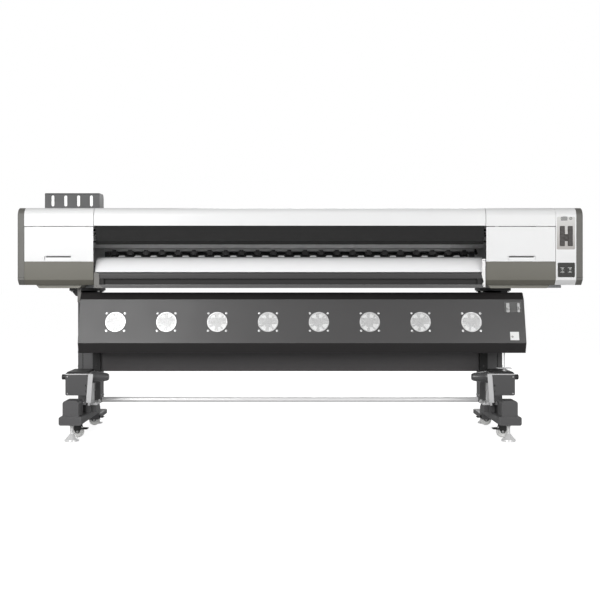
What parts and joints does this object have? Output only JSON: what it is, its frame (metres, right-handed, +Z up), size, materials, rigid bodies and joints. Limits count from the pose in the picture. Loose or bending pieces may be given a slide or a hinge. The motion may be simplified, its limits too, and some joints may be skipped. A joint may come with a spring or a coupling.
{
  "type": "roll-to-roll wide-format printer",
  "caption": "Floor-standing wide-format printer: long white body with lift-up lid and side doors, drying-fan box, take-up chucks, and two legs on levelling feet and casters.",
  "frame": {"origin": "on the floor, in the middle of the machine's bounding box", "axes": "+Z up, +X to the right of a person facing the front, the front faces -Y"},
  "size_m": [2.9234, 0.82, 1.299],
  "materials": {
    "white_shell": "satin white powder coat",
    "white_sheet": "gloss white enamel",
    "warm_grey_shell": "fine-grained warm grey moulding",
    "tank_grey": "fine-grained grey moulding",
    "smoked_acrylic": "polished, dark smoked",
    "aluminium_profile": "satin anodised",
    "anodised_tube": "bright anodised",
    "roller_steel": "ground, with a knurled grit band",
    "foot_chrome": "bright plate",
    "frame_paint": "matt black powder coat",
    "charcoal_paint": "satin charcoal powder coat",
    "stand_paint": "fine-textured dark grey powder coat",
    "light_grey_paint": "satin light grey powder coat",
    "black_plastic": "fine-grained moulding",
    "switch_plastic": "gloss black moulding",
    "bottle_plastic": "milky blow-moulded",
    "fork_black": "black e-coat",
    "caster_nylon": "pale nylon"
  },
  "bodies": {
    "main_frame": {"chassis_beam": "frame_paint", "left_hood": "white_shell", "right_hood": "white_shell", "rear_cover": "white_shell", "left_lower_cover": "warm_grey_shell", "right_lower_cover": "warm_grey_shell", "left_end_cap": "warm_grey_shell", "right_end_cap": "warm_grey_shell", "carriage_beam": "aluminium_profile", "print_platen": "aluminium_profile", "front_apron": "white_sheet", "apron_rail": "charcoal_paint", "rear_media_guide": "aluminium_profile", "pinch_bar": "charcoal_paint", "capping_station": "black_plastic", "ink_tank_cover": "tank_grey", "ink_bottles": "bottle_plastic", "control_panel": "white_shell", "fan_box": "charcoal_paint", "fan_frames": "black_plastic", "left_leg": "stand_paint", "right_leg": "stand_paint", "cross_beam": "stand_paint", "left_takeup_box": "stand_paint", "right_takeup_box": "stand_paint", "left_takeup_bracket": "light_grey_paint", "right_takeup_bracket": "light_grey_paint"},
    "left_door": {"left_door": "white_shell"},
    "right_door": {"right_door": "white_shell"},
    "lid": {"front_lid": "white_shell", "lid_window": "smoked_acrylic"},
    "carriage": {"print_carriage": "black_plastic"},
    "grit_roller": {"grit_roller": "roller_steel"},
    "pinch_arms": {"pinch_arms": "black_plastic"},
    "power_switch": {"power_switch": "switch_plastic"},
    "heater_switch": {"heater_switch": "switch_plastic"},
    "guide_tube": {"guide_tube": "anodised_tube"},
    "feed_shaft": {"feed_shaft": "roller_steel"},
    "fan_1": {"fan_impeller_1": "black_plastic"},
    "fan_2": {"fan_impeller_2": "black_plastic"},
    "fan_3": {"fan_impeller_3": "black_plastic"},
    "fan_4": {"fan_impeller_4": "black_plastic"},
    "fan_5": {"fan_impeller_5": "black_plastic"},
    "fan_6": {"fan_impeller_6": "black_plastic"},
    "fan_7": {"fan_impeller_7": "black_plastic"},
    "fan_8": {"fan_impeller_8": "black_plastic"},
    "left_chuck": {"left_takeup_chuck": "black_plastic"},
    "left_front_caster": {"left_front_caster_fork": "fork_black"},
    "left_front_wheel": {"left_front_caster_wheel": "caster_nylon"},
    "left_front_leveler": {"left_front_leveling_foot": "foot_chrome"},
    "left_rear_caster": {"left_rear_caster_fork": "fork_black"},
    "left_rear_wheel": {"left_rear_caster_wheel": "caster_nylon"},
    "left_rear_leveler": {"left_rear_leveling_foot": "foot_chrome"},
    "right_chuck": {"right_takeup_chuck": "black_plastic"},
    "right_front_caster": {"right_front_caster_fork": "fork_black"},
    "right_front_wheel": {"right_front_caster_wheel": "caster_nylon"},
    "right_front_leveler": {"right_front_leveling_foot": "foot_chrome"},
    "right_rear_caster": {"right_rear_caster_fork": "fork_black"},
    "right_rear_wheel": {"right_rear_caster_wheel": "caster_nylon"},
    "right_rear_leveler": {"right_rear_leveling_foot": "foot_chrome"}
  },
  "joints": [
    {"name": "left_door_hinge", "type": "hinge", "parent": "main_frame", "child": "left_door", "pos_m": [-1.248, -0.302, 1.09], "axis": [-1, 0, 0], "range_deg": [0, 80]},
    {"name": "right_door_hinge", "type": "hinge", "parent": "main_frame", "child": "right_door", "pos_m": [1.141, -0.302, 1.09], "axis": [-1, 0, 0], "range_deg": [0, 80]},
    {"name": "lid_hinge", "type": "hinge", "parent": "main_frame", "child": "lid", "pos_m": [0, 0.12, 1.198], "axis": [-1, 0, 0], "range_deg": [0, 65]},
    {"name": "carriage_slide", "type": "slide", "parent": "main_frame", "child": "carriage", "axis": [-1, 0, 0], "range_m": [0, 2.2]},
    {"name": "grit_spin", "type": "hinge", "parent": "main_frame", "child": "grit_roller", "pos_m": [-0.054, 0.01, 0.9313], "axis": [1, 0, 0], "continuous": true},
    {"name": "pinch_lift", "type": "hinge", "parent": "main_frame", "child": "pinch_arms", "pos_m": [-0.054, 0.045, 0.972], "axis": [-1, 0, 0], "range_deg": [0, 9]},
    {"name": "power_rocker", "type": "hinge", "parent": "main_frame", "child": "power_switch", "pos_m": [1.3548, -0.3085, 0.8747], "axis": [-1, 0, 0], "range_deg": [0, 20]},
    {"name": "heater_rocker", "type": "hinge", "parent": "main_frame", "child": "heater_switch", "pos_m": [1.3935, -0.3085, 0.8747], "axis": [-1, 0, 0], "range_deg": [0, 20]},
    {"name": "guide_tube_spin", "type": "hinge", "parent": "main_frame", "child": "guide_tube", "pos_m": [-0.052, 0.03, 0.165], "axis": [1, 0, 0], "continuous": true},
    {"name": "feed_spin", "type": "hinge", "parent": "main_frame", "child": "feed_shaft", "pos_m": [-0.052, 0.24, 0.59], "axis": [1, 0, 0], "continuous": true},
    {"name": "fan_1_spin", "type": "hinge", "parent": "main_frame", "child": "fan_1", "pos_m": [-0.9616, -0.25523, 0.60023], "axis": [0, -0.966, 0.2586], "continuous": true},
    {"name": "fan_2_spin", "type": "hinge", "parent": "main_frame", "child": "fan_2", "pos_m": [-0.6968, -0.25523, 0.60023], "axis": [0, -0.966, 0.2586], "continuous": true},
    {"name": "fan_3_spin", "type": "hinge", "parent": "main_frame", "child": "fan_3", "pos_m": [-0.432, -0.25523, 0.60023], "axis": [0, -0.966, 0.2586], "continuous": true},
    {"name": "fan_4_spin", "type": "hinge", "parent": "main_frame", "child": "fan_4", "pos_m": [-0.1672, -0.25523, 0.60023], "axis": [0, -0.966, 0.2586], "continuous": true},
    {"name": "fan_5_spin", "type": "hinge", "parent": "main_frame", "child": "fan_5", "pos_m": [0.0976, -0.25523, 0.60023], "axis": [0, -0.966, 0.2586], "continuous": true},
    {"name": "fan_6_spin", "type": "hinge", "parent": "main_frame", "child": "fan_6", "pos_m": [0.3624, -0.25523, 0.60023], "axis": [0, -0.966, 0.2586], "continuous": true},
    {"name": "fan_7_spin", "type": "hinge", "parent": "main_frame", "child": "fan_7", "pos_m": [0.6272, -0.25523, 0.60023], "axis": [0, -0.966, 0.2586], "continuous": true},
    {"name": "fan_8_spin", "type": "hinge", "parent": "main_frame", "child": "fan_8", "pos_m": [0.892, -0.25523, 0.60023], "axis": [0, -0.966, 0.2586], "continuous": true},
    {"name": "left_chuck_spin", "type": "hinge", "parent": "main_frame", "child": "left_chuck", "pos_m": [-1.1, -0.215, 0.313], "axis": [1, 0, 0], "continuous": true},
    {"name": "left_front_swivel", "type": "hinge", "parent": "main_frame", "child": "left_front_caster", "pos_m": [-1.175, -0.25, 0.0838], "axis": [0, 0, 1], "continuous": true},
    {"name": "left_front_roll", "type": "hinge", "parent": "left_front_caster", "child": "left_front_wheel", "pos_m": [-1.161, -0.25, 0.032], "axis": [0, 1, 0], "continuous": true},
    {"name": "left_front_screw", "type": "slide", "parent": "main_frame", "child": "left_front_leveler", "axis": [0, 0, -1], "range_m": [0, 0.02]},
    {"name": "left_rear_swivel", "type": "hinge", "parent": "main_frame", "child": "left_rear_caster", "pos_m": [-1.175, 0.186, 0.0738], "axis": [0, 0, 1], "continuous": true},
    {"name": "left_rear_roll", "type": "hinge", "parent": "left_rear_caster", "child": "left_rear_wheel", "pos_m": [-1.161, 0.186, 0.032], "axis": [0, 1, 0], "continuous": true},
    {"name": "left_rear_screw", "type": "slide", "parent": "main_frame", "child": "left_rear_leveler", "axis": [0, 0, -1], "range_m": [0, 0.02]},
    {"name": "right_chuck_spin", "type": "hinge", "parent": "main_frame", "child": "right_chuck", "pos_m": [0.996, -0.215, 0.313], "axis": [1, 0, 0], "continuous": true},
    {"name": "right_front_swivel", "type": "hinge", "parent": "main_frame", "child": "right_front_caster", "pos_m": [1.071, -0.25, 0.0838], "axis": [0, 0, 1], "continuous": true},
    {"name": "right_front_roll", "type": "hinge", "parent": "right_front_caster", "child": "right_front_wheel", "pos_m": [1.057, -0.25, 0.032], "axis": [0, 1, 0], "continuous": true},
    {"name": "right_front_screw", "type": "slide", "parent": "main_frame", "child": "right_front_leveler", "axis": [0, 0, -1], "range_m": [0, 0.02]},
    {"name": "right_rear_swivel", "type": "hinge", "parent": "main_frame", "child": "right_rear_caster", "pos_m": [1.071, 0.186, 0.0738], "axis": [0, 0, 1], "continuous": true},
    {"name": "right_rear_roll", "type": "hinge", "parent": "right_rear_caster", "child": "right_rear_wheel", "pos_m": [1.057, 0.186, 0.032], "axis": [0, 1, 0], "continuous": true},
    {"name": "right_rear_screw", "type": "slide", "parent": "main_frame", "child": "right_rear_leveler", "axis": [0, 0, -1], "range_m": [0, 0.02]}
  ]
}
